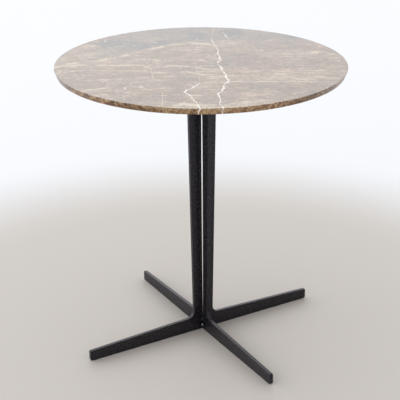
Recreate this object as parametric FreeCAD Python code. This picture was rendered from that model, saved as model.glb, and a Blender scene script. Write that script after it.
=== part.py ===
import FreeCAD, Part
import os
from math import hypot, sqrt, tan

# Round pedestal table: a thin polished stone top on four L-shaped steel blades.
# Millimetres. The origin is on the floor at the centre of the table and +Z is up.
# The four feet lie along the X and Y axes.

# Table
table_height = 724.0
top_diameter = 703.0
foot_circle_diameter = 656.0

# Stone top
stone_thickness = 15.0
rim_undercut = 5.8            # how far the lower rim stands inside the upper one
stone_arris = 0.8             # radius that takes the sharpness off both rims

# Blades: an upright and a foot cut from one flat bar
blade_thickness = 9.2         # with its coat
blade_arris = 0.8
upright_reach_top = 40.3      # outer edge of an upright from the centre line, at its top
upright_reach_low = 28.0      # the same, just above the foot
upright_low_height = 60.0
foot_height_root = 39.6
foot_root_reach = 40.0        # where the root height is taken
foot_height_tip = 28.4
inner_corner_radius = 19.0    # between upright and foot
tip_radius = 4.0              # both corners of a foot's end

# Slot between the uprights: half its width at three heights
slot_half_top = 8.0
slot_half_middle = 9.8
slot_half_low = 7.2
slot_floor_height = 26.0      # top of the solid centre of the base

# Square core bar and its welds
core_half = blade_thickness / 2
core_bottom = 2.0
weld_radius = 3.2
weld_low = 3.0
weld_high = 15.0

# Top plate, gasket and their fasteners
plate_radius = 130.0
plate_thickness = 6.0
plate_chamfer = 1.5
plate_centre_hole_radius = 12.0
gasket_thickness = 1.0
gasket_outer_radius = 128.0
gasket_inner_radius = 70.0
stone_screw_circle = 105.0    # radius of the circle of screws into the stone
stone_screw_count = 4
stone_screw_angle = 45.0      # first screw, between two blades
stone_screw_radius = 3.0
stone_screw_reach = 8.5       # thread above the plate
screw_head_radius = 5.25
screw_head_height = 3.3
screw_crown_radius = 2.3
screw_socket_across = 4.0
screw_socket_depth = 2.0
insert_radius = 4.5
insert_length = 10.0
insert_hole_depth = 11.0
washer_radius = 6.0
washer_thickness = 1.6
blade_screw_reaches = (17.5, 32.0)
blade_screw_radius = 2.5
blade_screw_length = 20.0
blade_screw_hole_depth = 18.0
blade_screw_head_radius = 4.8
blade_screw_socket_across = 3.0
blade_screw_socket_depth = 1.6
countersink_radius = 5.0

# Glides under the foot ends
glide_reach = 312.0           # centre of a glide from the table's centre line
glide_length = 20.0
glide_width = 7.0
glide_thickness = 1.0
glide_peg_radius = 2.0
glide_peg_length = 6.0
glide_end_radius = 2.8

fit_gap = 0.05                # radial room around screws, inserts and pegs
through_gap = 0.3             # room around a screw in a clearance hole
end_gap = 1.0                 # room beyond the end of a peg in its blind hole
same_place = 1e-6             # how close two numbers are when they mean one place

# Worked out from the above
foot_bottom = glide_thickness
foot_reach = foot_circle_diameter / 2
stone_bottom = table_height - stone_thickness
plate_top = stone_bottom - gasket_thickness
plate_bottom = plate_top - plate_thickness
blade_angles = {
    "leg_back_right": 0.0,
    "leg_back_left": 90.0,
    "leg_front_left": 180.0,
    "leg_front_right": 270.0,
}

Z_AXIS = FreeCAD.Vector(0, 0, 1)
CENTRE = FreeCAD.Vector(0, 0, 0)


def side_point(reach, height):
    """A point in a blade's own plane: reach from the centre line, height above the floor."""
    return FreeCAD.Vector(reach, 0, height)


def turned(shape, angle):
    """A copy of the shape turned about the table's centre line."""
    copy = shape.copy()
    copy.rotate(CENTRE, Z_AXIS, angle)
    return copy


def upright_cylinder(radius, bottom, height, reach=0.0):
    """A vertical cylinder standing at a height above the floor."""
    return Part.makeCylinder(radius, height, side_point(reach, bottom), Z_AXIS)


def hexagon_prism(across, bottom, height, reach=0.0):
    """A vertical hexagonal prism, such as a screw's socket."""
    corner_radius = across / sqrt(3)
    corners = [
        turned(Part.Vertex(corner_radius, 0, 0), step * 60).Point
        for step in range(7)
    ]
    prism = Part.Face(Part.makePolygon(corners)).extrude(Z_AXIS * height)
    prism.translate(side_point(reach, bottom))
    return prism


def around_circle(shape, count, first_angle):
    """Copies of a shape spread evenly about the centre line."""
    return [turned(shape, first_angle + step * 360.0 / count) for step in range(count)]


def round_corner(before, corner, after, radius):
    """Start, middle and end of the arc that rounds a corner between two straight edges."""
    to_before = (before - corner).normalize()
    to_after = (after - corner).normalize()
    half_angle = to_before.getAngle(to_after) / 2
    tangent_length = radius / tan(half_angle)
    bisector = (to_before + to_after).normalize()
    centre_distance = hypot(tangent_length, radius)
    start = corner + to_before * tangent_length
    middle = corner + bisector * (centre_distance - radius)
    end = corner + to_after * tangent_length
    return start, middle, end


def line_meeting(first, first_far, second, second_far):
    """Where two straight lines in a blade's plane cross."""
    along = first_far - first
    across = second_far - second
    between = second - first
    share = (between.x * across.z - between.z * across.x) / (along.x * across.z - along.z * across.x)
    return first + along * share


def blade_outline():
    """The closed outline of one blade, in its own plane."""
    core_low = side_point(core_half, foot_bottom)
    tip_low = side_point(foot_reach, foot_bottom)
    tip_high = side_point(foot_reach, foot_height_tip)
    root_high = side_point(foot_root_reach, foot_height_root)
    upright_low = side_point(upright_reach_low, upright_low_height)
    upright_high = side_point(upright_reach_top, plate_bottom)
    inner_corner = line_meeting(tip_high, root_high, upright_low, upright_high)
    slot_high = side_point(slot_half_top, plate_bottom)
    slot_round = slot_half_low - core_half
    slot_low = side_point(slot_half_low, slot_floor_height + slot_round)
    slot_middle = side_point(slot_half_middle, (slot_low.z + slot_high.z) / 2)
    slot_floor = side_point(core_half, slot_floor_height)
    slot_turn = side_point(core_half, slot_low.z) + side_point(slot_round, -slot_round) / sqrt(2)

    tip_low_arc = round_corner(core_low, tip_low, tip_high, tip_radius)
    tip_high_arc = round_corner(tip_low, tip_high, inner_corner, tip_radius)
    inner_arc = round_corner(tip_high, inner_corner, upright_high, inner_corner_radius)
    edges = [
        Part.LineSegment(core_low, tip_low_arc[0]),
        Part.Arc(*tip_low_arc),
        Part.LineSegment(tip_low_arc[2], tip_high_arc[0]),
        Part.Arc(*tip_high_arc),
        Part.LineSegment(tip_high_arc[2], inner_arc[0]),
        Part.Arc(*inner_arc),
        Part.LineSegment(inner_arc[2], upright_high),
        Part.LineSegment(upright_high, slot_high),
        Part.Arc(slot_high, slot_middle, slot_low),
        Part.Arc(slot_low, slot_turn, slot_floor),
        Part.LineSegment(slot_floor, core_low),
    ]
    return Part.Wire([edge.toShape() for edge in edges])


def is_flank_edge(edge):
    """True for the outline's edges on a blade's two flat faces, clear of the plate and the core."""
    box = edge.BoundBox
    on_flank = box.YLength < same_place
    at_plate = box.ZMin > plate_bottom - same_place
    at_core = box.XMax < core_half + same_place
    return on_flank and not at_plate and not at_core


def leg_blade():
    """One blade along +X, with its screw holes and the hole for its glide."""
    face = Part.Face(blade_outline())
    face.translate(FreeCAD.Vector(0, -blade_thickness / 2, 0))
    blade = face.extrude(FreeCAD.Vector(0, blade_thickness, 0))
    blade = blade.makeFillet(blade_arris, [edge for edge in blade.Edges if is_flank_edge(edge)])
    for reach in blade_screw_reaches:
        hole_bottom = plate_bottom - blade_screw_hole_depth
        blade = blade.cut(upright_cylinder(blade_screw_radius + fit_gap, hole_bottom,
                                           blade_screw_hole_depth, reach))
    peg_hole = upright_cylinder(glide_peg_radius + fit_gap, foot_bottom,
                                glide_peg_length + end_gap, glide_reach)
    return blade.cut(peg_hole)


def stone_top():
    """The stone disc, its rim leaning in towards the floor, with blind holes for the inserts."""
    radius = top_diameter / 2
    disc = Part.makeCone(radius - rim_undercut, radius, stone_thickness,
                         side_point(0, stone_bottom), Z_AXIS)
    rims = [edge for edge in disc.Edges if edge.BoundBox.ZLength < same_place]
    disc = disc.makeFillet(stone_arris, rims)
    hole = upright_cylinder(insert_radius + fit_gap, stone_bottom,
                            insert_hole_depth, stone_screw_circle)
    return disc.cut(around_circle(hole, stone_screw_count, stone_screw_angle))


def top_plate():
    """The round steel plate under the stone, countersunk above the blades."""
    plate = upright_cylinder(plate_radius, plate_bottom, plate_thickness)
    lower_rim = [edge for edge in plate.Edges
                 if edge.BoundBox.ZMax < plate_bottom + same_place]
    plate = plate.makeChamfer(plate_chamfer, lower_rim)
    plate = plate.cut(upright_cylinder(plate_centre_hole_radius, plate_bottom, plate_thickness))
    clearance = upright_cylinder(stone_screw_radius + through_gap, plate_bottom,
                                 plate_thickness, stone_screw_circle)
    plate = plate.cut(around_circle(clearance, stone_screw_count, stone_screw_angle))
    for reach in blade_screw_reaches:
        shank_hole = upright_cylinder(blade_screw_radius + through_gap, plate_bottom, plate_thickness, reach)
        sink = countersink(countersink_radius, reach)
        plate = plate.cut(around_circle(shank_hole.fuse(sink), len(blade_angles), 0.0))
    return plate


def countersink(radius, reach):
    """A 90 degree cone that opens at the plate's top face."""
    return Part.makeCone(0, radius, radius, side_point(reach, plate_top - radius), Z_AXIS)


def top_gasket():
    """The flat rubber ring between the plate and the stone."""
    ring = upright_cylinder(gasket_outer_radius, plate_top, gasket_thickness)
    ring = ring.cut(upright_cylinder(gasket_inner_radius, plate_top, gasket_thickness))
    hole = upright_cylinder(stone_screw_radius + through_gap, plate_top,
                            gasket_thickness, stone_screw_circle)
    return ring.cut(around_circle(hole, stone_screw_count, stone_screw_angle))


def stone_inserts():
    """Threaded brass bushes glued in the stone."""
    bush = upright_cylinder(insert_radius, stone_bottom, insert_length, stone_screw_circle)
    bore = upright_cylinder(stone_screw_radius + fit_gap, stone_bottom, insert_length, stone_screw_circle)
    return around_circle(bush.cut(bore), stone_screw_count, stone_screw_angle)


def stone_washers():
    """Plain washers between the screw heads and the plate."""
    bottom = plate_bottom - washer_thickness
    ring = upright_cylinder(washer_radius, bottom, washer_thickness, stone_screw_circle)
    hole = upright_cylinder(stone_screw_radius + fit_gap, bottom, washer_thickness, stone_screw_circle)
    return around_circle(ring.cut(hole), stone_screw_count, stone_screw_angle)


def stone_screws():
    """Button-head screws from below, through the plate and the gasket into the inserts."""
    head_top = plate_bottom - washer_thickness
    head_bottom = head_top - screw_head_height
    head = upright_cylinder(screw_head_radius, head_bottom, screw_head_height, stone_screw_circle)
    crown = [edge for edge in head.Edges if edge.BoundBox.ZMax < head_bottom + same_place]
    head = head.makeFillet(screw_crown_radius, crown)
    head = head.cut(hexagon_prism(screw_socket_across, head_bottom, screw_socket_depth, stone_screw_circle))
    shank = upright_cylinder(stone_screw_radius, head_top, plate_top + stone_screw_reach - head_top,
                             stone_screw_circle)
    return around_circle(head.fuse(shank).removeSplitter(), stone_screw_count, stone_screw_angle)


def blade_screws():
    """Countersunk screws from above, through the plate into the ends of the blades."""
    screws = []
    for reach in blade_screw_reaches:
        head_height = blade_screw_head_radius - blade_screw_radius
        head = Part.makeCone(blade_screw_radius, blade_screw_head_radius, head_height,
                             side_point(reach, plate_top - head_height - through_gap), Z_AXIS)
        shank_bottom = plate_top - blade_screw_length
        shank = upright_cylinder(blade_screw_radius, shank_bottom,
                                 blade_screw_length - head_height - through_gap, reach)
        socket = hexagon_prism(blade_screw_socket_across,
                               plate_top - through_gap - blade_screw_socket_depth,
                               blade_screw_socket_depth, reach)
        screw = head.fuse(shank).removeSplitter().cut(socket)
        screws += around_circle(screw, len(blade_angles), 0.0)
    return screws


def core_block():
    """The square steel bar that the lower inner ends of the blades meet."""
    side = 2 * core_half
    corner = FreeCAD.Vector(-core_half, -core_half, core_bottom)
    return Part.makeBox(side, side, slot_floor_height - core_bottom, corner)


def core_welds():
    """A round-ended weld bead in each inner corner between neighbouring blades."""
    height = weld_high - weld_low - 2 * weld_radius
    low = weld_low + weld_radius
    bead = upright_cylinder(weld_radius, low, height)
    bead = bead.fuse(Part.makeSphere(weld_radius, side_point(0, low)))
    bead = bead.fuse(Part.makeSphere(weld_radius, side_point(0, low + height)))
    bead = bead.common(Part.makeBox(weld_radius, weld_radius, weld_high))
    bead.translate(FreeCAD.Vector(core_half, core_half, 0))
    return around_circle(bead, len(blade_angles), 0.0)


def foot_glides():
    """Nylon glides pressed into the undersides of the foot ends."""
    corner = FreeCAD.Vector(glide_reach - glide_length / 2, -glide_width / 2, 0)
    pad = Part.makeBox(glide_length, glide_width, glide_thickness, corner)
    upright_edges = [edge for edge in pad.Edges if edge.BoundBox.ZLength > glide_thickness / 2]
    pad = pad.makeFillet(glide_end_radius, upright_edges)
    peg = upright_cylinder(glide_peg_radius, glide_thickness, glide_peg_length, glide_reach)
    return around_circle(pad.fuse(peg), len(blade_angles), 0.0)


def write_node(name, shape):
    """Write one node, a single solid or a group of separate ones, to its own STEP file."""
    if isinstance(shape, list):
        shape = Part.makeCompound(shape)
    assert shape.isValid(), name
    shape.exportStep(os.path.join("parts", name + ".step"))
    print(name, len(shape.Solids), "solids", round(shape.Volume), "mm3")


def main():
    """Build every piece of the table and write it out."""
    os.makedirs("parts", exist_ok=True)
    blade = leg_blade()
    for name, angle in blade_angles.items():
        write_node(name, turned(blade, angle))
    write_node("core_block", core_block())
    write_node("core_welds", core_welds())
    write_node("foot_glides", foot_glides())
    write_node("top_plate", top_plate())
    write_node("blade_screws", blade_screws())
    write_node("top_gasket", top_gasket())
    write_node("stone_top", stone_top())
    write_node("stone_inserts", stone_inserts())
    write_node("stone_washers", stone_washers())
    write_node("stone_screws", stone_screws())


main()
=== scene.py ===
from math import cos, pi, radians, sin

import bpy
from bpy.props import (
    FloatProperty, FloatVectorProperty, IntProperty, PointerProperty,
)
from mathutils import Matrix, Vector


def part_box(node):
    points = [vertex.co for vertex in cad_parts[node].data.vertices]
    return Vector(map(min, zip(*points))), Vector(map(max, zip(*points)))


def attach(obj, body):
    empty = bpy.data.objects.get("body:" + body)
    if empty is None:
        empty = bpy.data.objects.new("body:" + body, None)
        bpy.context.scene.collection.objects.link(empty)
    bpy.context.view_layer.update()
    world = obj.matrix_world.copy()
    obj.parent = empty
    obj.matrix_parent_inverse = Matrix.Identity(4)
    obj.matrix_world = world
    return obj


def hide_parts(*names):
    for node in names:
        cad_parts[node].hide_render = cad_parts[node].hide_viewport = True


bl_info = {
    "name": "Round Pedestal Table",
    "version": (1, 0, 0),
    "blender": (4, 5, 0),
    "location": "3D View > Sidebar > Table",
    "description": "A polished stone top on four L-shaped blades in textured black coat",
    "category": "Object",
}

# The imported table, and its box before anything is added to it
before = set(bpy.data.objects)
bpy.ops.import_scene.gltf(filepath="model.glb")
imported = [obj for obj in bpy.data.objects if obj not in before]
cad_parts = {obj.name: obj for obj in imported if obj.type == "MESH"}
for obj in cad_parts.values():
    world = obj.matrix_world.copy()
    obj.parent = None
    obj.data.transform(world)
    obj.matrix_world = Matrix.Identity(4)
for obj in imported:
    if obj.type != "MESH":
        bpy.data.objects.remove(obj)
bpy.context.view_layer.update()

BODY = "root"
STONE_LOW, STONE_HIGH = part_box("stone_top")
STONE_RADIUS = (STONE_HIGH.x - STONE_LOW.x) / 2
STONE_THICKNESS = STONE_HIGH.z - STONE_LOW.z
CORE_LOW, CORE_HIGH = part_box("core_block")
WELD_LOW, WELD_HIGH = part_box("core_welds")
WELD_RADIUS = WELD_HIGH.x - CORE_HIGH.x
# width of a weld bead at its ends and between its ripples, as shares of its width at a crest
WELD_END = 0.35 ** 0.5
WELD_TROUGH = 0.74
# how far a bead reaches into the blades, so that nothing shows between them
WELD_OVERLAP = 0.00002
BARE_STEEL = (0.56, 0.58, 0.62)
BLADE_COUNT = 4
INSERT_LOW, INSERT_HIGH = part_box("stone_inserts")
INSERT_COUNT = 4
INSERT_RADIUS = 0.0045
# the inserts stand on the diagonals, so their box is a square with them in its corners
INSERT_REACH = (INSERT_HIGH.x - INSERT_RADIUS) * 2 ** 0.5


# ---------------------------------------------------------------- shading, node by node

class Wire:
    """An output socket of a node, with arithmetic that adds Math nodes."""

    def __init__(self, nodes, socket):
        self.nodes = nodes
        self.socket = socket

    def __add__(self, other):
        return self.nodes.math("ADD", self, other)

    def __sub__(self, other):
        return self.nodes.math("SUBTRACT", self, other)

    def __rsub__(self, other):
        return self.nodes.math("SUBTRACT", other, self)

    def __mul__(self, other):
        return self.nodes.math("MULTIPLY", self, other)

    def __abs__(self):
        return self.nodes.math("ABSOLUTE", self)

    __radd__ = __add__
    __rmul__ = __mul__


class Nodes:
    """A node tree that is being put together."""

    def __init__(self, tree):
        self.tree = tree
        self.tree.nodes.clear()

    def node(self, kind, settings=None, sockets=None, output=0):
        """Add a node: its settings first, then the values or links of its input sockets."""
        node = self.tree.nodes.new(kind)
        for name, value in (settings or {}).items():
            if name == "stops":
                set_ramp(node.color_ramp, value)
            elif name == "curve":
                set_curve(node.mapping, value)
            else:
                setattr(node, name, value)
        for name, value in (sockets or {}).items():
            if isinstance(value, Wire):
                self.tree.links.new(value.socket, node.inputs[name])
            else:
                node.inputs[name].default_value = value
        if node.outputs:
            return Wire(self, node.outputs[output])

    def math(self, operation, first, second=0.0):
        return self.node("ShaderNodeMath", {"operation": operation}, {0: first, 1: second})

    def larger(self, first, second):
        return self.math("MAXIMUM", first, second)

    def ease(self, value, low, high):
        """0 at low, 1 at high and beyond, with a smooth rise between; high may be the smaller."""
        settings = {"interpolation_type": "SMOOTHSTEP"}
        sockets = {"Value": value, "From Min": low, "From Max": high}
        return self.node("ShaderNodeMapRange", settings, sockets)

    def line(self, distance, half_width, softness):
        """1 within the half width of a line, falling to 0 over the softness."""
        return self.ease(abs(distance), half_width + softness, half_width)

    def through(self, value, points):
        """A value worked out from another by straight lines between points."""
        firsts = [first for first, second in points]
        seconds = [second for first, second in points]
        low, high = min(firsts), max(firsts)
        bottom, top = min(seconds), max(seconds)
        unit = [((first - low) / (high - low), (second - bottom) / (top - bottom))
                for first, second in points]
        sockets = {"Value": value, "From Min": low, "From Max": high}
        share = self.node("ShaderNodeMapRange", None, sockets)
        curved = self.node("ShaderNodeFloatCurve", {"curve": unit}, {"Value": share})
        return curved * (top - bottom) + bottom

    def blend(self, share, first, second, way="MIX"):
        """Mix two colours."""
        settings = {"data_type": "RGBA", "blend_type": way}
        return self.node("ShaderNodeMix", settings, {0: share, 6: first, 7: second}, output=2)

    def vectors(self, operation, first, second):
        return self.node("ShaderNodeVectorMath", {"operation": operation}, {0: first, 1: second})

    def split(self, vector):
        """The x, y and z of a vector."""
        return [self.node("ShaderNodeSeparateXYZ", None, {0: vector}, output=axis) for axis in range(3)]

    def noise(self, place, scale, detail=4.0, roughness=0.5, output=0):
        """Cloudy noise, 0 to 1 with a middle of about 0.5."""
        sockets = {"Vector": place, "Scale": scale, "Detail": detail, "Roughness": roughness}
        return self.node("ShaderNodeTexNoise", None, sockets, output)

    def drifted(self, place, scale, distance, detail=3.0):
        """The same places, moved about by cloudy noise."""
        cloud = self.noise(place, scale, detail, 0.6, output=1)
        offset = self.vectors("SUBTRACT", cloud, (0.5, 0.5, 0.5))
        offset = self.vectors("MULTIPLY", offset, (2 * distance, 2 * distance, 2 * distance))
        return self.vectors("ADD", place, offset)


class Finish(Nodes):
    """A procedural material."""

    def __init__(self, name):
        self.material = bpy.data.materials.new(name)
        self.material.use_nodes = True
        super().__init__(self.material.node_tree)
        self.place = self.node("ShaderNodeTexCoord", None, None, output=3)

    def bump(self, height, depth):
        """A normal from a height that runs 0 to 1 over a depth in metres."""
        return self.node("ShaderNodeBump", None, {"Height": height, "Distance": depth, "Strength": 1.0})

    def surface(self, **sockets):
        """Finish the material with a principled shader. Underscores in names stand for spaces."""
        named = {name.replace("_", " "): value for name, value in sockets.items()}
        shader = self.node("ShaderNodeBsdfPrincipled", None, named)
        self.node("ShaderNodeOutputMaterial", None, {"Surface": shader})
        return self.material


def set_ramp(ramp, stops):
    """Give a colour ramp its stops, each a place and a colour."""
    while len(ramp.elements) < len(stops):
        ramp.elements.new(0.5)
    for element, (place, colour) in zip(ramp.elements, stops):
        element.position = place
        element.color = colour


def set_curve(mapping, points):
    """Give a float curve its points, joined by straight lines."""
    curve = mapping.curves[0]
    for place in points[2:]:
        curve.points.new(*place)
    for point, place in zip(curve.points, points):
        point.location = place
        point.handle_type = "VECTOR"
    mapping.update()


def opaque(colour):
    """A colour with full alpha."""
    return (*colour, 1.0)


# ---------------------------------------------------------------- modelling helpers

def deselect_all():
    bpy.ops.object.select_all(action="DESELECT")


def added_piece(name):
    """Name the object just added, and put its place in its mesh."""
    piece = bpy.context.object
    piece.name = name
    piece.data.name = name
    bpy.ops.object.transform_apply(location=True, rotation=True, scale=True)
    return piece


def edit_selection(piece, kind, test):
    """Enter edit mode with only the faces, edges or points that pass the test selected."""
    bpy.context.view_layer.objects.active = piece
    bpy.ops.object.mode_set(mode="EDIT")
    bpy.ops.mesh.select_mode(type=kind)
    bpy.ops.mesh.select_all(action="DESELECT")
    bpy.ops.object.mode_set(mode="OBJECT")
    mesh = piece.data
    elements = {"FACE": mesh.polygons, "EDGE": mesh.edges, "VERT": mesh.vertices}[kind]
    for element in elements:
        element.select = test(element)
    bpy.ops.object.mode_set(mode="EDIT")


def leave_edit():
    bpy.ops.object.mode_set(mode="OBJECT")


def edge_ends(piece, edge):
    """The two end points of an edge."""
    return [piece.data.vertices[index].co for index in edge.vertices]


def repeat_about_centre(piece, count):
    """Copy a piece evenly about the table's centre line, and join the copies to it."""
    deselect_all()
    for step in range(1, count):
        copy = piece.copy()
        copy.data = piece.data.copy()
        copy.data.transform(Matrix.Rotation(step * 2 * pi / count, 4, "Z"))
        bpy.context.scene.collection.objects.link(copy)
        copy.select_set(True)
    piece.select_set(True)
    bpy.context.view_layer.objects.active = piece
    bpy.ops.object.join()


def set_material(piece, material):
    piece.data.materials.clear()
    piece.data.materials.append(material)


def coat_nodes(names, material):
    """Give CAD pieces a material through their own slots."""
    for name in names:
        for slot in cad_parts[name].material_slots:
            slot.material = material


# ---------------------------------------------------------------- settings

class StoneSettings(bpy.types.PropertyGroup):
    """Shape and colours of the stone top."""
    undercut: FloatProperty(
        name="Undercut", description="How far the lower rim stands inside the upper one",
        default=0.0058, min=0.0, unit="LENGTH")
    arris: FloatProperty(
        name="Arris", description="Width of the eased corner along both rims",
        default=0.0009, min=0.0, unit="LENGTH")
    rim_sides: IntProperty(
        name="Rim Sides", description="Number of straight sides that make the round rim",
        default=256, min=32)
    insert_hole_depth: FloatProperty(
        name="Insert Hole Depth", description="Depth of the blind holes for the inserts",
        default=0.011, unit="LENGTH")
    grain_angle: FloatProperty(
        name="Grain Angle", description="Turn of the stone's bands about the upright axis",
        default=radians(30.2), subtype="ANGLE")
    dark: FloatVectorProperty(
        name="Dark Brown", description="Darkest ground of the stone",
        default=(0.074, 0.030, 0.008), subtype="COLOR")
    brown: FloatVectorProperty(
        name="Brown", description="Common ground of the stone",
        default=(0.142, 0.082, 0.041), subtype="COLOR")
    tan: FloatVectorProperty(
        name="Tan", description="Lighter ground of the stone",
        default=(0.240, 0.163, 0.101), subtype="COLOR")
    gold: FloatVectorProperty(
        name="Gold", description="Seams and hairlines",
        default=(0.445, 0.358, 0.246), subtype="COLOR")
    rose: FloatVectorProperty(
        name="Rose", description="Tint that some of the ground takes",
        default=(0.560, 0.440, 0.490), subtype="COLOR")
    white: FloatVectorProperty(
        name="White", description="Spar in the two wide cracks",
        default=(0.740, 0.680, 0.620), subtype="COLOR")
    grey_brown: FloatVectorProperty(
        name="Grey Brown", description="Ground towards the back",
        default=(0.126, 0.089, 0.067), subtype="COLOR")
    slate: FloatVectorProperty(
        name="Slate", description="Cool dark patches towards the back",
        default=(0.048, 0.042, 0.043), subtype="COLOR")
    edge_warmth: FloatVectorProperty(
        name="Edge Warmth", description="Tint of the stone where it was cut down through its layers",
        default=(1.0, 0.86, 0.68), subtype="COLOR")
    gloss: FloatProperty(
        name="Polish Roughness", description="Roughness of the polished face",
        default=0.10, min=0.0, max=1.0)


class CoatSettings(bpy.types.PropertyGroup):
    """Textured powder coat of the steel."""
    colour: FloatVectorProperty(
        name="Coat Colour", description="Colour of the black coat",
        default=(0.0070, 0.0064, 0.0080), subtype="COLOR")
    roughness: FloatProperty(
        name="Coat Roughness", description="Mean roughness of the coat",
        default=0.31, min=0.0, max=1.0)
    gloss_index: FloatProperty(
        name="Gloss Index", description="Refractive index, which sets how much the coat reflects",
        default=1.42, min=1.0)
    gloss_tint: FloatVectorProperty(
        name="Gloss Tint", description="Faint violet cast of the coat's gloss",
        default=(0.96, 0.90, 1.0), subtype="COLOR")
    weld_ripples: IntProperty(
        name="Weld Ripples", description="Number of ripples along a weld bead",
        default=5, min=1)
    bare_height: FloatProperty(
        name="Bare Height", description="Height above which a weld bead is worn to bare steel",
        default=0.0125, unit="LENGTH")
    pebble: FloatProperty(
        name="Pebble Size", description="Width of a pebble in the coat",
        default=0.0022, unit="LENGTH")
    pebble_depth: FloatProperty(
        name="Pebble Depth", description="Height of a pebble",
        default=0.00009, unit="LENGTH")


class StageSettings(bpy.types.PropertyGroup):
    """Camera, floor and light."""
    camera_distance: FloatProperty(
        name="Camera Distance", description="Level distance from the table's centre line",
        default=2.5618, unit="LENGTH")
    camera_height: FloatProperty(
        name="Camera Height", description="Height of the camera above the floor",
        default=1.4498, unit="LENGTH")
    camera_side: FloatProperty(
        name="Camera Side", description="Turn of the camera about the table",
        default=radians(30.235), subtype="ANGLE")
    camera_aside: FloatProperty(
        name="Aim Aside", description="Turn of the camera to its right of the centre line",
        default=radians(1.289), subtype="ANGLE")
    camera_down: FloatProperty(
        name="Aim Down", description="Tilt of the camera below level",
        default=radians(22.918), subtype="ANGLE")
    camera_roll: FloatProperty(
        name="Roll", description="Roll of the camera", default=radians(-0.178), subtype="ANGLE")
    focal_length: FloatProperty(
        name="Focal Length", description="Focal length on a 36 mm frame, in millimetres",
        default=99.06)
    shift: FloatProperty(
        name="Sideways Shift", description="Lens shift as a share of the frame",
        default=-0.0625)
    floor_colour: FloatVectorProperty(
        name="Floor Colour", description="Floor near the table",
        default=(0.540, 0.505, 0.468), subtype="COLOR")
    far_colour: FloatVectorProperty(
        name="Far Floor Colour", description="Floor well away from the table",
        default=(0.790, 0.800, 0.830), subtype="COLOR")
    horizon_light: FloatProperty(
        name="Horizon Light", description="Light from low on the walls", default=1.30, min=0.0)
    wall_light: FloatProperty(
        name="Wall Light", description="Light from high on the walls", default=1.76, min=0.0)
    ceiling_light: FloatProperty(
        name="Ceiling Light", description="Light from overhead", default=0.92, min=0.0)
    left_share: FloatProperty(
        name="Left Share", description="How much brighter the left side of the room is",
        default=0.38, min=0.0)
    back_share: FloatProperty(
        name="Back Share", description="How much brighter the room is behind the table",
        default=0.15, min=0.0)


# ---------------------------------------------------------------- stone

# The stone's figure is laid out across the slab and back from its front, in metres from its centre.
# It is cut as a slab is, so a crack or a band goes straight down through the thickness.
# Most points of the cracks and seams were worked out by another program. The
# clouds and patches, and all widths, strengths and fades, were set one by one.

# The main white crack, front to back: (back, across)
MAIN_CRACK = [
    (-0.350, 0.046), (-0.318, 0.038), (-0.283, 0.041), (-0.250, 0.038), (-0.218, 0.047), (-0.184, 0.051),
    (-0.150, 0.062), (-0.114, 0.057), (-0.073, 0.050), (-0.041, 0.048), (-0.002, 0.037), (0.022, 0.048),
    (0.046, 0.043), (0.108, 0.042), (0.167, 0.033), (0.223, 0.025), (0.291, 0.032), (0.350, 0.033)]
MAIN_CRACK_WIDTH = [
    (-0.350, 0.0012), (-0.250, 0.0010), (-0.150, 0.0019), (-0.040, 0.0016), (0.010, 0.0017),
    (0.060, 0.0012), (0.130, 0.0007), (0.180, 0.0002), (0.220, 0.0005), (0.240, 0.0000),
    (0.350, 0.0000)]
# The second crack, white at the front and fading to a fine gold line
SECOND_CRACK = [
    (-0.350, -0.004), (-0.300, -0.015), (-0.266, -0.023), (-0.233, -0.036), (-0.216, -0.035),
    (-0.209, -0.023), (-0.171, -0.006), (-0.145, -0.003), (-0.136, -0.009)]
SECOND_CRACK_WIDTH = [
    (-0.350, 0.0009), (-0.300, 0.0010), (-0.235, 0.0012), (-0.205, 0.0014), (-0.170, 0.0012),
    (-0.160, -0.0006), (-0.136, -0.0006)]
# Fine gold cracks: points, the middle and half length of the part that shows, and strength
FINE_CRACKS = [
    ([(-0.350, -0.083), (-0.241, -0.086)], (-0.300, 0.056), 0.60),
    ([(-0.126, -0.111), (-0.085, -0.115), (-0.049, -0.120), (0.020, -0.135)], (-0.053, 0.068), 0.60),
    ([(-0.145, -0.003), (-0.105, -0.007), (-0.068, -0.011), (0.010, -0.014)], (-0.070, 0.072), 0.50),
    ([(0.040, -0.219), (0.073, -0.227), (0.110, -0.235)], (0.075, 0.030), 0.35),
    ([(-0.325, -0.049), (-0.282, -0.023)], (-0.303, 0.020), 0.35),
    ([(-0.350, -0.181), (-0.282, -0.186)], (-0.320, 0.022), 0.70),
    ([(-0.300, -0.166), (-0.255, -0.171)], (-0.273, 0.012), 0.60),
    ([(0.230, 0.071), (0.290, 0.057)], (0.258, 0.030), 0.75)]
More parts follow.
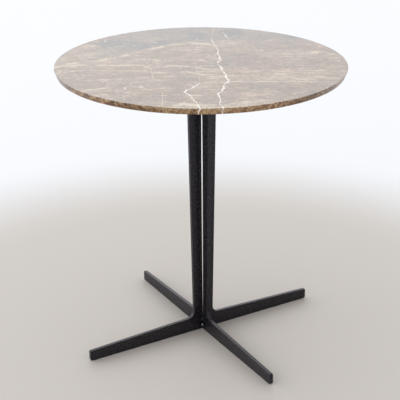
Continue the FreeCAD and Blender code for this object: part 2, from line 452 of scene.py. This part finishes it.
# Gold seams, side to side: points (across, back), and for each seam its half width, softness,
# strength, and the middle and half length of the part that shows
ARCH_SEAM = [
    (-0.350, -0.042), (-0.323, -0.008), (-0.265, 0.014), (-0.210, 0.046), (-0.158, 0.098),
    (-0.098, 0.152), (-0.042, 0.187), (0.025, 0.173), (0.080, 0.178), (0.350, 0.150)]
SEAMS = [
    (ARCH_SEAM, 0.003, 0.013, 0.85, (-0.160, 0.215)),
    ([(-0.350, -0.032), (-0.290, -0.015), (-0.205, -0.022), (-0.142, -0.016), (-0.118, -0.047),
      (-0.077, -0.023), (-0.034, -0.030), (0.032, -0.061), (0.079, -0.058), (0.171, -0.096),
      (0.350, -0.100)], 0.002, 0.008, 0.8, (-0.080, 0.270)),
    ([(-0.350, -0.090), (-0.282, -0.059), (-0.205, -0.066), (-0.128, -0.068), (-0.104, -0.085),
      (-0.035, -0.073), (0.017, -0.114), (0.112, -0.108), (0.153, -0.124), (0.193, -0.112),
      (0.225, -0.137), (0.350, -0.130)], 0.002, 0.007, 0.7, (-0.030, 0.320)),
    ([(0.000, -0.163), (0.055, -0.159), (0.092, -0.154), (0.218, -0.154), (0.251, -0.162),
      (0.294, -0.161)], 0.0015, 0.005, 0.8, (0.148, 0.150)),
    ([(-0.084, -0.257), (-0.036, -0.255), (0.001, -0.258)], 0.0012, 0.004, 0.9, (-0.042, 0.030)),
    ([(-0.049, -0.320), (-0.023, -0.282)], 0.0010, 0.004, 0.5, (-0.036, 0.010)),
    ([(-0.269, -0.216), (-0.234, -0.212), (-0.213, -0.194)], 0.0025, 0.005, 1.0, (-0.241, 0.020)),
    ([(0.282, 0.091), (0.300, 0.100), (0.318, 0.076), (0.344, 0.072)], 0.003, 0.006, 1.0, (0.313, 0.025)),
    ([(-0.100, -0.345), (-0.038, -0.319), (-0.008, -0.330), (0.039, -0.333), (0.086, -0.317),
      (0.123, -0.299), (0.180, -0.290)], 0.004, 0.012, 1.0, (0.035, 0.080))]
# Small flakes of spar: (across, back, reach across, reach back)
FLAKES = [
    (-0.136, -0.192, 0.006, 0.008), (-0.171, -0.202, 0.005, 0.006), (-0.159, -0.171, 0.004, 0.005),
    (-0.222, -0.203, 0.012, 0.004), (0.065, 0.256, 0.004, 0.028), (-0.246, 0.205, 0.004, 0.014),
    (-0.170, 0.160, 0.006, 0.006), (-0.195, 0.185, 0.008, 0.004), (-0.118, 0.192, 0.009, 0.005),
    (-0.148, -0.022, 0.009, 0.003), (0.027, -0.114, 0.011, 0.003)]
# Clouds that are lighter (+) or darker (-) than the rest: (across, back, reach across, reach back, amount)
CLOUDS = [
    (0.180, -0.095, 0.170, 0.062, 0.12), (-0.270, 0.020, 0.110, 0.070, 0.06),
    (-0.285, 0.080, 0.060, 0.050, 0.07),
    (0.270, 0.090, 0.080, 0.060, 0.05), (0.050, -0.325, 0.130, 0.035, 0.12),
    (-0.245, -0.214, 0.055, 0.022, 0.09), (0.102, -0.270, 0.040, 0.050, 0.06),
    (0.085, 0.012, 0.075, 0.060, -0.09), (0.235, -0.040, 0.065, 0.026, -0.09),
    (0.125, -0.197, 0.100, 0.042, -0.08), (-0.295, -0.145, 0.055, 0.040, -0.07),
    (-0.175, -0.048, 0.050, 0.026, -0.05), (-0.068, -0.055, 0.055, 0.024, -0.06),
    (0.265, -0.188, 0.050, 0.028, -0.10), (0.285, 0.020, 0.035, 0.024, -0.12)]
# Cool slate patches towards the back: (across, back, reach across, reach back)
SLATE_PATCHES = [
    (-0.225, 0.180, 0.050, 0.050), (-0.160, 0.165, 0.035, 0.045), (-0.105, 0.190, 0.035, 0.035),
    (-0.012, 0.268, 0.032, 0.070), (0.076, 0.290, 0.040, 0.055), (0.245, 0.246, 0.035, 0.030)]


def patch(finish, flat, across, back, reach_across, reach_back):
    """1 in the middle of an oval patch, falling to 0 at about its reach."""
    sockets = {"Vector": flat, "Location": (across, back, 0.0), "Scale": (reach_across, reach_back, 1.0)}
    centred = finish.node("ShaderNodeMapping", {"vector_type": "TEXTURE"}, sockets)
    distance = finish.node("ShaderNodeVectorMath", {"operation": "LENGTH"}, {0: centred}, output=1)
    return finish.ease(distance, 1.25, 0.35)


def stone_ground(finish, look, place, ragged, shaken, on_edge):
    """Brown ground with clouds, mottle and threads, cooler behind the arch and in slate patches."""
    across = finish.split(place)[0]
    shaken_back = finish.split(shaken)[1]
    flat = finish.vectors("MULTIPLY", ragged, (1.0, 1.0, 0.0))
    stretched = finish.vectors("MULTIPLY", ragged, (0.65, 1.0, 1.0))
    clouds = finish.noise(stretched, 18.0, 8.0, 0.62)
    mottle = finish.noise(shaken, 85.0, 6.0, 0.72)
    wide_threads = finish.line(finish.noise(stretched, 26.0, 6.0, 0.62) - 0.5, 0.004, 0.022)
    fine_threads = finish.line(finish.noise(ragged, 52.0, 5.0, 0.62) - 0.48, 0.004, 0.030)
    open_areas = finish.ease(finish.noise(place, 13.0, 4.0, 0.6), 0.40, 0.58)
    threads = finish.larger(wide_threads, fine_threads * 0.8) * (open_areas * 0.75 + 0.25)
    grain = finish.vectors("MULTIPLY", finish.drifted(place, 30.0, 0.010, 2.0), (0.16, 1.0, 1.0))
    streaks = finish.noise(grain, 95.0, 6.0, 0.70)
    fibres = finish.ease(streaks, 0.55, 0.66)
    tone = ((clouds - 0.5) * 0.75 + 0.41 + (streaks - 0.5) * 0.75
            + (mottle - 0.5) * (on_edge * 1.3 + 0.75)
            + threads * 0.16 + fibres * (open_areas * 0.20 + 0.06))
    crumbs = finish.noise(place, 230.0, 4.0, 0.75)
    tone = tone + (crumbs - 0.5) * (on_edge * 2.3 + 0.25) - on_edge * 0.02
    for cloud_across, cloud_back, reach_across, reach_back, amount in CLOUDS:
        cloud = patch(finish, flat, cloud_across, cloud_back, reach_across, reach_back)
        tone = tone + cloud * amount
    warm = finish.node("ShaderNodeValToRGB", {"stops": [
        (0.20, opaque(look.dark)), (0.42, opaque(look.brown)), (0.60, opaque(look.tan)),
        (0.90, opaque(look.gold))]}, {"Fac": tone})
    cool = finish.node("ShaderNodeValToRGB", {"stops": [
        (0.20, opaque(look.slate)), (0.50, opaque(look.grey_brown)),
        (0.85, opaque(look.tan))]}, {"Fac": tone})
    rosy = finish.ease(finish.noise(place, 8.0, 3.0, 0.5), 0.44, 0.62)
    warm = finish.blend(rosy * 0.45, warm, opaque(look.rose), "SOFT_LIGHT")

    arch = finish.through(across, ARCH_SEAM)
    behind = finish.ease(shaken_back - arch, 0.0, 0.035) * finish.ease(across, -0.29, -0.21) * 0.75
    slate = None
    for values in SLATE_PATCHES:
        one = patch(finish, flat, *values)
        slate = finish.larger(slate, one) if slate else one
    ground = finish.blend(finish.larger(behind, slate), warm, cool)
    slate = finish.ease(slate + (mottle - 0.5) * 1.6 - fibres * 0.7, 0.30, 0.85)
    return finish.blend(slate * 0.85, ground, opaque(look.slate)), mottle


def stone_crust_and_front_highlight(finish, look, ground, place, shaken):
    """A crumbly gold crust along the front of the upper rim and down the edge below it, strongest at the
    top, where it is partly painted highlight of the bright front arris.
    """
    across, back, up = finish.split(place)
    reach = finish.node("ShaderNodeVectorMath", {"operation": "LENGTH"}, {
        0: finish.vectors("MULTIPLY", shaken, (1.0, 1.0, 0.0))}, output=1)
    stretch = finish.line(across - 0.015, 0.085, 0.050) * finish.ease(back, -0.300, -0.330)
    by_rim = finish.ease(reach, STONE_RADIUS - 0.014, STONE_RADIUS - 0.004)
    crumbs = finish.noise(shaken, 150.0, 4.0, 0.70)
    shown = finish.ease(crumbs + (up - STONE_HIGH.z) * 12.0, 0.40, 0.56)
    # the gold here is partly the stone's crust and partly painted highlight along the arris nearest the
    # camera
    return finish.blend(stretch * by_rim * shown * 0.9, ground, opaque(look.gold))


def stone_seams(finish, look, ground, place, ragged, shaken):
    """Gold seams from side to side and fine hairlines, both broken along their length."""
    across = finish.split(place)[0]
    back = finish.split(shaken)[1]
    here = finish.ease(finish.noise(shaken, 24.0, 6.0, 0.72), 0.43, 0.57)
    seams = None
    for points, half_width, softness, strength, fade in SEAMS:
        one = finish.line(back - finish.through(across, points), half_width, softness)
        one = one * finish.line(across - fade[0], fade[1], 0.04) * strength
        seams = finish.larger(seams, one) if seams else one
    ground = finish.blend(seams * (here * 0.85 + 0.10), ground, opaque(look.gold))

    hairs = None
    for size, amount in ((21.0, 0.60), (43.0, 0.50)):
        crackle = finish.node("ShaderNodeTexVoronoi", {"feature": "DISTANCE_TO_EDGE"},
                              {"Vector": ragged, "Scale": size, "Randomness": 1.0})
        shown = finish.ease(finish.noise(place, size * 0.8, 4.0, 0.65), 0.47, 0.60)
        one = finish.line(crackle, 0.0, 0.0009 * size) * shown * amount
        hairs = finish.larger(hairs, one) if hairs else one
    return finish.blend(hairs, ground, opaque(look.gold))


def stone_cracks(finish, look, ground, place, shaken):
    """Cracks from front to back, filled with white spar or fading to a gold line."""
    across = finish.split(shaken)[0]
    back = finish.split(place)[1]
    beads = finish.noise(place, 90.0, 3.0, 0.65)
    zigzag = (finish.noise(place, 42.0, 2.0, 0.6) - 0.5) * 0.012
    spar = None
    for points, widths in ((MAIN_CRACK, MAIN_CRACK_WIDTH), (SECOND_CRACK, SECOND_CRACK_WIDTH)):
        width = finish.through(back, widths) * (beads * 5.6 - 2.15)
        gap = abs(across + zigzag - finish.through(back, points))
        one = finish.ease(gap, width + 0.0011, width) * finish.ease(width, -0.0006, 0.0008)
        spar = finish.larger(spar, one) if spar else one
    gold = None
    for points, (middle, reach), strength in FINE_CRACKS:
        gap = across - finish.through(back, points)
        one = finish.line(gap, 0.0003, 0.0014) * finish.line(back - middle, reach, 0.012) * strength
        gold = finish.larger(gold, one) if gold else one
    for flake_across, flake_back, reach_across, reach_back in FLAKES:
        one = patch(finish, shaken, flake_across, flake_back, reach_across, reach_back)
        spar = finish.larger(spar, one * 0.8)
    ground = finish.blend(gold, ground, opaque(look.gold))
    return finish.blend(spar * 0.95, ground, opaque(look.white)), spar


def stone_material(look):
    """Polished brown stone."""
    finish = Finish("polished_brown_stone")
    sockets = {"Vector": finish.place, "Rotation": (0.0, 0.0, look.grain_angle)}
    place = finish.node("ShaderNodeMapping", {"vector_type": "POINT"}, sockets)
    ragged = finish.drifted(place, 22.0, 0.030, 5.0)
    shaken = finish.drifted(place, 75.0, 0.005, 3.0)
    on_edge = finish.ease(finish.split(place)[2], STONE_HIGH.z - 0.0004, STONE_HIGH.z - 0.0010)
    ground, mottle = stone_ground(finish, look, place, ragged, shaken, on_edge)
    ground = stone_seams(finish, look, ground, place, ragged, shaken)
    # gold along the front upper rim: partly crust, partly painted highlight of the front arris
    ground = stone_crust_and_front_highlight(finish, look, ground, place, shaken)
    ground = finish.blend(on_edge, ground, opaque(look.edge_warmth), "MULTIPLY")
    ground, spar = stone_cracks(finish, look, ground, place, shaken)
    roughness = look.gloss + spar * 0.06 + (mottle - 0.5) * 0.05 + on_edge * 0.15
    return finish.surface(Base_Color=ground, Roughness=roughness, IOR=1.55)


class TABLE_OT_stone_top(bpy.types.Operator):
    """Model the stone top with its leaning rim and eased arrises"""
    bl_idname = "table.stone_top"
    bl_label = "Stone Top"

    def execute(self, context):
        look = context.scene.table_stone
        deselect_all()
        bpy.ops.mesh.primitive_cone_add(
            vertices=look.rim_sides, radius1=STONE_RADIUS - look.undercut, radius2=STONE_RADIUS,
            depth=STONE_THICKNESS, location=(0, 0, STONE_LOW.z + STONE_THICKNESS / 2))
        stone = added_piece("polished_stone_top")
        self.ease_rims(stone, look.arris)
        self.drill(stone, look)
        deselect_all()
        stone.select_set(True)
        bpy.context.view_layer.objects.active = stone
        bpy.ops.object.shade_smooth_by_angle(angle=radians(30))
        set_material(stone, stone_material(look))
        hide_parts("stone_top")
        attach(stone, BODY)
        return {"FINISHED"}

    def ease_rims(self, stone, arris):
        """Bevel the circles where the rim meets the two flat faces."""
        def on_rim(edge):
            start, end = edge_ends(stone, edge)
            return abs(start.z - end.z) < STONE_THICKNESS / 2
        edit_selection(stone, "EDGE", on_rim)
        bpy.ops.mesh.bevel(offset=arris, segments=3)
        leave_edit()
        # a narrow flat ring beside each rim keeps the shading of the flats level
        edit_selection(stone, "FACE", lambda face: abs(face.normal.z) > 0.999)
        bpy.ops.mesh.inset(thickness=2 * arris)
        leave_edit()

    def drill(self, stone, look):
        """Cut the blind holes for the inserts in the underside."""
        deselect_all()
        bpy.ops.mesh.primitive_cylinder_add(
            vertices=32, radius=INSERT_RADIUS, depth=look.insert_hole_depth * 2,
            location=Matrix.Rotation(pi / 4, 3, "Z") @ Vector((INSERT_REACH, 0, STONE_LOW.z)))
        drills = added_piece("insert_drills")
        repeat_about_centre(drills, INSERT_COUNT)
        deselect_all()
        stone.select_set(True)
        bpy.context.view_layer.objects.active = stone
        cut = stone.modifiers.new("insert_holes", "BOOLEAN")
        cut.operation = "DIFFERENCE"
        cut.object = drills
        bpy.ops.object.modifier_apply(modifier=cut.name)
        bpy.data.objects.remove(drills)


# ---------------------------------------------------------------- base

def coat_material(look):
    """Fine-pebbled black powder coat, a little cloudy where the powder lay thicker."""
    finish = Finish("textured_black_coat")
    pebbles = finish.noise(finish.place, 1.0 / look.pebble, 2.0, 0.55)
    blotches = finish.noise(finish.place, 0.5 / look.pebble, 2.0, 0.60)
    raised = finish.ease(pebbles, 0.36, 0.64)
    roughness = (pebbles - 0.5) * -0.30 + (blotches - 0.5) * 0.35 + look.roughness
    thin = opaque([0.20 * part for part in look.colour])
    thick = opaque([3.60 * part for part in look.colour])
    shade = finish.blend(finish.ease(pebbles * 0.2 + blotches * 0.8, 0.48, 0.60), thin, thick)
    normal = finish.bump(raised, look.pebble_depth)
    return finish.surface(Base_Color=shade, Roughness=roughness, Normal=normal, IOR=look.gloss_index,
                          Specular_Tint=opaque(look.gloss_tint))


def weld_material(look):
    """The coat run smooth and glossy over a bead, worn to bare steel on its crests."""
    finish = Finish("coated_weld_bead")
    up = finish.split(finish.place)[2]
    cloud = finish.noise(finish.place, 500.0, 3.0, 0.6)
    bare = finish.ease(up + (cloud - 0.5) * 0.014, look.bare_height - 0.001, look.bare_height)
    shade = finish.blend(bare, opaque(look.colour), opaque(BARE_STEEL))
    return finish.surface(Base_Color=shade, Metallic=bare, Roughness=cloud * 0.2 + 0.15,
                          IOR=look.gloss_index)


class TABLE_OT_welds(bpy.types.Operator):
    """Model the rippled weld beads in the corners between the blades"""
    bl_idname = "table.welds"
    bl_label = "Weld Beads"

    def execute(self, context):
        look = context.scene.table_coat
        length = WELD_HIGH.z - WELD_LOW.z
        middle = (WELD_LOW.z + WELD_HIGH.z) / 2
        deselect_all()
        bpy.ops.mesh.primitive_cylinder_add(
            vertices=24, radius=WELD_RADIUS, depth=length,
            location=(CORE_HIGH.x, CORE_HIGH.y, middle), rotation=(0, 0, radians(2)))
        beads = added_piece("core_weld_beads")
        edit_selection(beads, "EDGE", lambda edge: self.is_upright(beads, edge))
        bpy.ops.mesh.subdivide(number_cuts=2 * look.weld_ripples + 1)
        leave_edit()
        self.ripple(beads, look.weld_ripples, length)
        self.keep_corner(beads)
        repeat_about_centre(beads, BLADE_COUNT)
        bpy.ops.object.shade_smooth_by_angle(angle=radians(50))
        set_material(beads, weld_material(look))
        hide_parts("core_welds")
        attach(beads, BODY)
        return {"FINISHED"}

    def is_upright(self, beads, edge):
        start, end = edge_ends(beads, edge)
        return abs(start.z - end.z) > WELD_RADIUS

    def ripple(self, beads, ripples, length):
        """Draw in every second ring, and round off both ends."""
        rings = 2 * ripples + 2
        for ring in range(rings + 1):
            height = WELD_LOW.z + length * ring / rings
            to_end = min(ring, rings - ring) / rings * length / WELD_RADIUS
            rounded = max(WELD_END, (1 - (1 - min(1, to_end)) ** 2) ** 0.5)
            drawn_in = WELD_TROUGH if ring % 2 == 0 else 1.0
            edit_selection(beads, "VERT", lambda point: abs(point.co.z - height) < 1e-5)
            width = rounded * drawn_in
            bpy.ops.transform.resize(value=(width, width, 1), center_override=(
                CORE_HIGH.x, CORE_HIGH.y, height))
            leave_edit()
        bpy.context.view_layer.objects.active = beads
        smooth = beads.modifiers.new("round_ripples", "SUBSURF")
        smooth.levels = 2
        smooth.render_levels = 2
        bpy.ops.object.modifier_apply(modifier=smooth.name)

    def keep_corner(self, beads):
        """Cut away what would lie deeper inside the blades than the overlap."""
        overlap = Vector((WELD_OVERLAP, WELD_OVERLAP, 0))
        for normal in ((1, 0, 0), (0, 1, 0)):
            edit_selection(beads, "FACE", lambda face: True)
            bpy.ops.mesh.bisect(plane_co=CORE_HIGH - overlap, plane_no=normal,
                                use_fill=True, clear_inner=True, threshold=1e-7)
            leave_edit()
        edit_selection(beads, "FACE", lambda face: True)
        bpy.ops.mesh.remove_doubles(threshold=1e-6)
        bpy.ops.mesh.normals_make_consistent(inside=False)
        leave_edit()


class TABLE_OT_blades(bpy.types.Operator):
    """Coat the four blades, the core and the top plate"""
    bl_idname = "table.blades"
    bl_label = "Blades and Plate"

    def execute(self, context):
        coat = coat_material(context.scene.table_coat)
        names = [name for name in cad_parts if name.startswith("leg_")]
        coat_nodes(names + ["core_block", "top_plate"], coat)
        return {"FINISHED"}


# ---------------------------------------------------------------- fasteners and soft parts

ZINC_DULL = (0.50, 0.51, 0.53)
ZINC_BRIGHT = (0.68, 0.68, 0.67)
BRASS_DULL = (0.60, 0.42, 0.16)
BRASS_BRIGHT = (0.80, 0.60, 0.28)
RUBBER_BLACK = (0.030, 0.030, 0.030)
NYLON_BLACK = (0.040, 0.040, 0.042)


def metal_material(name, dull, bright, cloud_scale, least_roughness, added_roughness):
    """Bare or plated metal, faintly clouded."""
    finish = Finish(name)
    cloud = finish.noise(finish.place, cloud_scale, 4.0, 0.6)
    colour = finish.blend(cloud, opaque(dull), opaque(bright))
    roughness = cloud * added_roughness + least_roughness
    return finish.surface(Base_Color=colour, Metallic=1.0, Roughness=roughness)


def soft_material(name, colour, roughness):
    """Dark rubber or nylon with a fine grain."""
    finish = Finish(name)
    grain = finish.noise(finish.place, 900.0, 3.0, 0.6)
    darker = opaque([0.7 * part for part in colour])
    lighter = opaque([1.3 * part for part in colour])
    shade = finish.blend(grain, darker, lighter)
    grain_depth = 0.00004
    normal = finish.bump(grain, grain_depth)
    return finish.surface(Base_Color=shade, Roughness=grain * 0.2 + roughness, Normal=normal)


class TABLE_OT_fasteners(bpy.types.Operator):
    """Finish the screws, washers and inserts"""
    bl_idname = "table.fasteners"
    bl_label = "Fasteners"

    def execute(self, context):
        zinc = metal_material("zinc_plated_steel", ZINC_DULL, ZINC_BRIGHT, 400.0, 0.22, 0.25)
        brass = metal_material("turned_brass", BRASS_DULL, BRASS_BRIGHT, 500.0, 0.20, 0.20)
        coat_nodes(["blade_screws", "stone_screws", "stone_washers"], zinc)
        coat_nodes(["stone_inserts"], brass)
        return {"FINISHED"}


class TABLE_OT_soft_parts(bpy.types.Operator):
    """Finish the gasket and the glides"""
    bl_idname = "table.soft_parts"
    bl_label = "Gasket and Glides"

    def execute(self, context):
        coat_nodes(["top_gasket"], soft_material("black_rubber", RUBBER_BLACK, 0.6))
        coat_nodes(["foot_glides"], soft_material("black_nylon", NYLON_BLACK, 0.4))
        return {"FINISHED"}


# ---------------------------------------------------------------- stage

FLOOR_RADIUS = 40.0
# the floor pales between these two distances from the table's centre line
FLOOR_NEAR = 0.75
FLOOR_FAR = 1.35
DAYLIGHT = (0.985, 0.992, 1.0)


class TABLE_OT_stage(bpy.types.Operator):
    """Set the floor, the light and the camera"""
    bl_idname = "table.stage"
    bl_label = "Stage"

    def execute(self, context):
        stage = context.scene.table_stage
        self.floor(stage)
        self.light(context.scene, stage)
        self.camera(context.scene, stage)
        context.scene.view_settings.view_transform = "Standard"
        return {"FINISHED"}

    def floor(self, stage):
        deselect_all()
        bpy.ops.mesh.primitive_circle_add(vertices=96, radius=FLOOR_RADIUS, fill_type="NGON")
        floor = added_piece("studio_floor")
        finish = Finish("pale_floor")
        place = finish.place
        distance = finish.node("ShaderNodeVectorMath", {"operation": "LENGTH"}, {0: place}, output=1)
        colour = finish.blend(finish.ease(distance, FLOOR_NEAR, FLOOR_FAR),
                              opaque(stage.floor_colour), opaque(stage.far_colour))
        set_material(floor, finish.surface(Base_Color=colour, Roughness=0.6))

    def light(self, scene, stage):
        """A room of soft light: bright low walls, brighter on the left, under a dimmer ceiling."""
        world = bpy.data.worlds.new("studio_room")
        scene.world = world
        world.use_nodes = True
        nodes = Nodes(world.node_tree)
        direction = nodes.node("ShaderNodeTexCoord")
        across, back, up = nodes.split(direction)
        level = nodes.through(up, [
            (-1.0, 1.0), (0.0, stage.horizon_light), (0.20, stage.horizon_light),
            (0.32, stage.wall_light), (0.50, stage.wall_light), (0.66, stage.ceiling_light),
            (1.0, stage.ceiling_light)])
        left = across * -cos(stage.camera_side) + back * sin(stage.camera_side)
        behind = across * sin(stage.camera_side) + back * cos(stage.camera_side)
        sides = left * stage.left_share + behind * stage.back_share + 1.0
        background = nodes.node("ShaderNodeBackground", None, {
            "Color": opaque(DAYLIGHT), "Strength": level * sides})
        nodes.node("ShaderNodeOutputWorld", None, {"Surface": background})

    def camera(self, scene, stage):
        """Look at the table from its front left, a little from above."""
        data = bpy.data.cameras.new("studio_camera")
        data.lens = stage.focal_length
        data.shift_x = stage.shift
        camera = bpy.data.objects.new("studio_camera", data)
        scene.collection.objects.link(camera)
        around = Matrix.Rotation(-stage.camera_side, 4, "Z")
        away = Vector((0, -stage.camera_distance, stage.camera_height))
        aim = (Matrix.Rotation(-stage.camera_aside, 4, "Z")
               @ Matrix.Rotation(pi / 2 - stage.camera_down, 4, "X")
               @ Matrix.Rotation(-stage.camera_roll, 4, "Z"))
        camera.matrix_world = around @ Matrix.Translation(away) @ aim
        scene.camera = camera


# ---------------------------------------------------------------- the add-on

class TABLE_PT_panel(bpy.types.Panel):
    """Steps that build the table, in order"""
    bl_idname = "TABLE_PT_panel"
    bl_label = "Round Pedestal Table"
    bl_space_type = "VIEW_3D"
    bl_region_type = "UI"
    bl_category = "Table"

    def draw(self, context):
        for operator in OPERATORS:
            self.layout.operator(operator.bl_idname)


OPERATORS = (
    TABLE_OT_stone_top, TABLE_OT_blades, TABLE_OT_welds, TABLE_OT_fasteners,
    TABLE_OT_soft_parts, TABLE_OT_stage,
)
SETTINGS = {"table_stone": StoneSettings, "table_coat": CoatSettings, "table_stage": StageSettings}


def register():
    for group in SETTINGS.values():
        bpy.utils.register_class(group)
    for operator in OPERATORS:
        bpy.utils.register_class(operator)
    bpy.utils.register_class(TABLE_PT_panel)
    for name, group in SETTINGS.items():
        setattr(bpy.types.Scene, name, PointerProperty(type=group))


def unregister():
    for name in SETTINGS:
        delattr(bpy.types.Scene, name)
    bpy.utils.unregister_class(TABLE_PT_panel)
    for operator in reversed(OPERATORS):
        bpy.utils.unregister_class(operator)
    for group in SETTINGS.values():
        bpy.utils.unregister_class(group)


def main():
    """Build the whole table and its stage."""
    register()
    bpy.ops.table.stone_top()
    bpy.ops.table.blades()
    bpy.ops.table.welds()
    bpy.ops.table.fasteners()
    bpy.ops.table.soft_parts()
    bpy.ops.table.stage()


if __name__ == "__main__":
    main()
